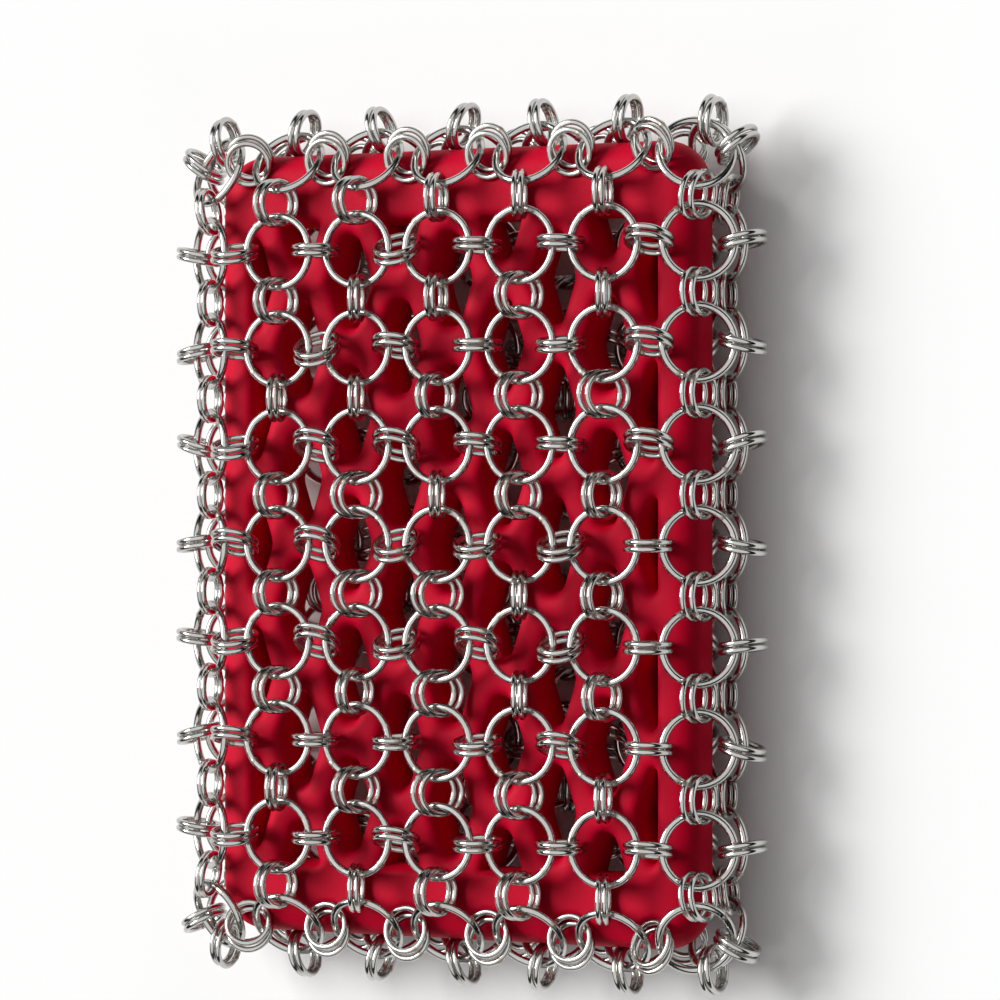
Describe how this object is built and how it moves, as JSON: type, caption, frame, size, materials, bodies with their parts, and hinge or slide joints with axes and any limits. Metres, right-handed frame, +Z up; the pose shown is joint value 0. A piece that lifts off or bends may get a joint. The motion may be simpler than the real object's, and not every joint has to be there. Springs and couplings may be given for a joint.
{
  "type": "pot scrubber",
  "caption": "Flat rectangular pot scrubber: a closed sleeve of linked wire rings round a soft moulded grid core, for scouring pans and cast iron.",
  "frame": {"origin": "on the resting surface, under the middle of the pad", "axes": "+X across the pad, +Y along its length, +Z up through its thickness"},
  "size_m": [0.0872, 0.1168, 0.0206],
  "materials": {
    "ring_steel": "welded stainless wire, tumbled to a bright polish",
    "core_silicone": "moulded silicone rubber, satin"
  },
  "bodies": {
    "pad": {"silicone_core": "core_silicone", "lower_cross_links": "ring_steel", "lower_down_links": "ring_steel", "lower_rings": "ring_steel", "upper_cross_links_row_1": "ring_steel", "upper_cross_links_row_9": "ring_steel", "upper_down_links_column_1": "ring_steel", "upper_down_links_column_7": "ring_steel", "upper_rings_column_1": "ring_steel", "upper_rings_column_2": "ring_steel", "upper_rings_column_3": "ring_steel", "upper_rings_column_4": "ring_steel", "upper_rings_column_5": "ring_steel", "upper_rings_column_6": "ring_steel", "upper_rings_column_7": "ring_steel"},
    "far_loop_1": {"far_loop_1": "ring_steel"},
    "far_loop_2": {"far_loop_2": "ring_steel"},
    "far_loop_3": {"far_loop_3": "ring_steel"},
    "far_loop_4": {"far_loop_4": "ring_steel"},
    "far_loop_5": {"far_loop_5": "ring_steel"},
    "far_loop_6": {"far_loop_6": "ring_steel"},
    "far_loop_7": {"far_loop_7": "ring_steel"},
    "left_loop_1": {"left_loop_1": "ring_steel"},
    "left_loop_2": {"left_loop_2": "ring_steel"},
    "left_loop_3": {"left_loop_3": "ring_steel"},
    "left_loop_4": {"left_loop_4": "ring_steel"},
    "left_loop_5": {"left_loop_5": "ring_steel"},
    "left_loop_6": {"left_loop_6": "ring_steel"},
    "left_loop_7": {"left_loop_7": "ring_steel"},
    "left_loop_8": {"left_loop_8": "ring_steel"},
    "left_loop_9": {"left_loop_9": "ring_steel"},
    "near_loop_1": {"near_loop_1": "ring_steel"},
    "near_loop_2": {"near_loop_2": "ring_steel"},
    "near_loop_3": {"near_loop_3": "ring_steel"},
    "near_loop_4": {"near_loop_4": "ring_steel"},
    "near_loop_5": {"near_loop_5": "ring_steel"},
    "near_loop_6": {"near_loop_6": "ring_steel"},
    "near_loop_7": {"near_loop_7": "ring_steel"},
    "right_loop_1": {"right_loop_1": "ring_steel"},
    "right_loop_2": {"right_loop_2": "ring_steel"},
    "right_loop_3": {"right_loop_3": "ring_steel"},
    "right_loop_4": {"right_loop_4": "ring_steel"},
    "right_loop_5": {"right_loop_5": "ring_steel"},
    "right_loop_6": {"right_loop_6": "ring_steel"},
    "right_loop_7": {"right_loop_7": "ring_steel"},
    "right_loop_8": {"right_loop_8": "ring_steel"},
    "right_loop_9": {"right_loop_9": "ring_steel"},
    "upper_cross_links_row_2": {"upper_cross_links_row_2": "ring_steel"},
    "upper_cross_links_row_3": {"upper_cross_links_row_3": "ring_steel"},
    "upper_cross_links_row_4": {"upper_cross_links_row_4": "ring_steel"},
    "upper_cross_links_row_5": {"upper_cross_links_row_5": "ring_steel"},
    "upper_cross_links_row_6": {"upper_cross_links_row_6": "ring_steel"},
    "upper_cross_links_row_7": {"upper_cross_links_row_7": "ring_steel"},
    "upper_cross_links_row_8": {"upper_cross_links_row_8": "ring_steel"},
    "upper_down_links_column_2": {"upper_down_links_column_2": "ring_steel"},
    "upper_down_links_column_3": {"upper_down_links_column_3": "ring_steel"},
    "upper_down_links_column_4": {"upper_down_links_column_4": "ring_steel"},
    "upper_down_links_column_5": {"upper_down_links_column_5": "ring_steel"},
    "upper_down_links_column_6": {"upper_down_links_column_6": "ring_steel"}
  },
  "joints": [
    {"name": "far_loop_1_swing", "type": "hinge", "parent": "pad", "child": "far_loop_1", "pos_m": [-0.03621, 0.05412, 0.00984], "axis": [0.9272, 0.3746, 0], "range_deg": [-18, 18]},
    {"name": "far_loop_2_swing", "type": "hinge", "parent": "pad", "child": "far_loop_2", "pos_m": [-0.02408, 0.0548, 0.00984], "axis": [1, 0, 0], "range_deg": [-18, 18]},
    {"name": "far_loop_3_swing", "type": "hinge", "parent": "pad", "child": "far_loop_3", "pos_m": [-0.01204, 0.0548, 0.00984], "axis": [1, 0, 0], "range_deg": [-18, 18]},
    {"name": "far_loop_4_swing", "type": "hinge", "parent": "pad", "child": "far_loop_4", "pos_m": [0, 0.0548, 0.00984], "axis": [1, 0, 0], "range_deg": [-18, 18]},
    {"name": "far_loop_5_swing", "type": "hinge", "parent": "pad", "child": "far_loop_5", "pos_m": [0.01204, 0.0548, 0.00984], "axis": [1, 0, 0], "range_deg": [-18, 18]},
    {"name": "far_loop_6_swing", "type": "hinge", "parent": "pad", "child": "far_loop_6", "pos_m": [0.02408, 0.0548, 0.00984], "axis": [1, 0, 0], "range_deg": [-18, 18]},
    {"name": "far_loop_7_swing", "type": "hinge", "parent": "pad", "child": "far_loop_7", "pos_m": [0.03621, 0.05412, 0.00984], "axis": [0.9272, -0.3746, 0], "range_deg": [-18, 18]},
    {"name": "left_loop_1_swing", "type": "hinge", "parent": "pad", "child": "left_loop_1", "pos_m": [-0.03932, 0.05101, 0.00984], "axis": [0.3746, 0.9272, 0], "range_deg": [-18, 18]},
    {"name": "left_loop_2_swing", "type": "hinge", "parent": "pad", "child": "left_loop_2", "pos_m": [-0.04, 0.03888, 0.00984], "axis": [0, 1, 0], "range_deg": [-18, 18]},
    {"name": "left_loop_3_swing", "type": "hinge", "parent": "pad", "child": "left_loop_3", "pos_m": [-0.04, 0.02592, 0.00984], "axis": [0, 1, 0], "range_deg": [-18, 18]},
    {"name": "left_loop_4_swing", "type": "hinge", "parent": "pad", "child": "left_loop_4", "pos_m": [-0.04, 0.01296, 0.00984], "axis": [0, 1, 0], "range_deg": [-18, 18]},
    {"name": "left_loop_5_swing", "type": "hinge", "parent": "pad", "child": "left_loop_5", "pos_m": [-0.04, 0, 0.00984], "axis": [0, 1, 0], "range_deg": [-18, 18]},
    {"name": "left_loop_6_swing", "type": "hinge", "parent": "pad", "child": "left_loop_6", "pos_m": [-0.04, -0.01296, 0.00984], "axis": [0, 1, 0], "range_deg": [-18, 18]},
    {"name": "left_loop_7_swing", "type": "hinge", "parent": "pad", "child": "left_loop_7", "pos_m": [-0.04, -0.02592, 0.00984], "axis": [0, 1, 0], "range_deg": [-18, 18]},
    {"name": "left_loop_8_swing", "type": "hinge", "parent": "pad", "child": "left_loop_8", "pos_m": [-0.04, -0.03888, 0.00984], "axis": [0, 1, 0], "range_deg": [-18, 18]},
    {"name": "left_loop_9_swing", "type": "hinge", "parent": "pad", "child": "left_loop_9", "pos_m": [-0.03932, -0.05101, 0.00984], "axis": [-0.3746, 0.9272, 0], "range_deg": [-18, 18]},
    {"name": "near_loop_1_swing", "type": "hinge", "parent": "pad", "child": "near_loop_1", "pos_m": [-0.03621, -0.05412, 0.00984], "axis": [-0.9272, 0.3746, 0], "range_deg": [-18, 18]},
    {"name": "near_loop_2_swing", "type": "hinge", "parent": "pad", "child": "near_loop_2", "pos_m": [-0.02408, -0.0548, 0.00984], "axis": [-1, 0, 0], "range_deg": [-18, 18]},
    {"name": "near_loop_3_swing", "type": "hinge", "parent": "pad", "child": "near_loop_3", "pos_m": [-0.01204, -0.0548, 0.00984], "axis": [-1, 0, 0], "range_deg": [-18, 18]},
    {"name": "near_loop_4_swing", "type": "hinge", "parent": "pad", "child": "near_loop_4", "pos_m": [0, -0.0548, 0.00984], "axis": [-1, 0, 0], "range_deg": [-18, 18]},
    {"name": "near_loop_5_swing", "type": "hinge", "parent": "pad", "child": "near_loop_5", "pos_m": [0.01204, -0.0548, 0.00984], "axis": [-1, 0, 0], "range_deg": [-18, 18]},
    {"name": "near_loop_6_swing", "type": "hinge", "parent": "pad", "child": "near_loop_6", "pos_m": [0.02408, -0.0548, 0.00984], "axis": [-1, 0, 0], "range_deg": [-18, 18]},
    {"name": "near_loop_7_swing", "type": "hinge", "parent": "pad", "child": "near_loop_7", "pos_m": [0.03621, -0.05412, 0.00984], "axis": [-0.9272, -0.3746, 0], "range_deg": [-18, 18]},
    {"name": "right_loop_1_swing", "type": "hinge", "parent": "pad", "child": "right_loop_1", "pos_m": [0.03932, 0.05101, 0.00984], "axis": [0.3746, -0.9272, 0], "range_deg": [-18, 18]},
    {"name": "right_loop_2_swing", "type": "hinge", "parent": "pad", "child": "right_loop_2", "pos_m": [0.04, 0.03888, 0.00984], "axis": [0, -1, 0], "range_deg": [-18, 18]},
    {"name": "right_loop_3_swing", "type": "hinge", "parent": "pad", "child": "right_loop_3", "pos_m": [0.04, 0.02592, 0.00984], "axis": [0, -1, 0], "range_deg": [-18, 18]},
    {"name": "right_loop_4_swing", "type": "hinge", "parent": "pad", "child": "right_loop_4", "pos_m": [0.04, 0.01296, 0.00984], "axis": [0, -1, 0], "range_deg": [-18, 18]},
    {"name": "right_loop_5_swing", "type": "hinge", "parent": "pad", "child": "right_loop_5", "pos_m": [0.04, 0, 0.00984], "axis": [0, -1, 0], "range_deg": [-18, 18]},
    {"name": "right_loop_6_swing", "type": "hinge", "parent": "pad", "child": "right_loop_6", "pos_m": [0.04, -0.01296, 0.00984], "axis": [0, -1, 0], "range_deg": [-18, 18]},
    {"name": "right_loop_7_swing", "type": "hinge", "parent": "pad", "child": "right_loop_7", "pos_m": [0.04, -0.02592, 0.00984], "axis": [0, -1, 0], "range_deg": [-18, 18]},
    {"name": "right_loop_8_swing", "type": "hinge", "parent": "pad", "child": "right_loop_8", "pos_m": [0.04, -0.03888, 0.00984], "axis": [0, -1, 0], "range_deg": [-18, 18]},
    {"name": "right_loop_9_swing", "type": "hinge", "parent": "pad", "child": "right_loop_9", "pos_m": [0.03932, -0.05101, 0.00984], "axis": [-0.3746, -0.9272, 0], "range_deg": [-18, 18]},
    {"name": "upper_cross_links_row_2_swing", "type": "hinge", "parent": "pad", "child": "upper_cross_links_row_2", "pos_m": [0, 0.03888, 0.01692], "axis": [1, 0, 0], "range_deg": [-8, 8]},
    {"name": "upper_cross_links_row_3_swing", "type": "hinge", "parent": "pad", "child": "upper_cross_links_row_3", "pos_m": [0, 0.02592, 0.01692], "axis": [1, 0, 0], "range_deg": [-8, 8]},
    {"name": "upper_cross_links_row_4_swing", "type": "hinge", "parent": "pad", "child": "upper_cross_links_row_4", "pos_m": [0, 0.01296, 0.01692], "axis": [1, 0, 0], "range_deg": [-8, 8]},
    {"name": "upper_cross_links_row_5_swing", "type": "hinge", "parent": "pad", "child": "upper_cross_links_row_5", "pos_m": [0, 0, 0.01692], "axis": [1, 0, 0], "range_deg": [-8, 8]},
    {"name": "upper_cross_links_row_6_swing", "type": "hinge", "parent": "pad", "child": "upper_cross_links_row_6", "pos_m": [0, -0.01296, 0.01692], "axis": [1, 0, 0], "range_deg": [-8, 8]},
    {"name": "upper_cross_links_row_7_swing", "type": "hinge", "parent": "pad", "child": "upper_cross_links_row_7", "pos_m": [0, -0.02592, 0.01692], "axis": [1, 0, 0], "range_deg": [-8, 8]},
    {"name": "upper_cross_links_row_8_swing", "type": "hinge", "parent": "pad", "child": "upper_cross_links_row_8", "pos_m": [0, -0.03888, 0.01692], "axis": [1, 0, 0], "range_deg": [-8, 8]},
    {"name": "upper_down_links_column_2_swing", "type": "hinge", "parent": "pad", "child": "upper_down_links_column_2", "pos_m": [-0.02408, 0, 0.01692], "axis": [0, 1, 0], "range_deg": [-6, 6]},
    {"name": "upper_down_links_column_3_swing", "type": "hinge", "parent": "pad", "child": "upper_down_links_column_3", "pos_m": [-0.01204, 0, 0.01692], "axis": [0, 1, 0], "range_deg": [-6, 6]},
    {"name": "upper_down_links_column_4_swing", "type": "hinge", "parent": "pad", "child": "upper_down_links_column_4", "pos_m": [0, 0, 0.01692], "axis": [0, 1, 0], "range_deg": [-6, 6]},
    {"name": "upper_down_links_column_5_swing", "type": "hinge", "parent": "pad", "child": "upper_down_links_column_5", "pos_m": [0.01204, 0, 0.01692], "axis": [0, 1, 0], "range_deg": [-6, 6]},
    {"name": "upper_down_links_column_6_swing", "type": "hinge", "parent": "pad", "child": "upper_down_links_column_6", "pos_m": [0.02408, 0, 0.01692], "axis": [0, 1, 0], "range_deg": [-6, 6]}
  ]
}
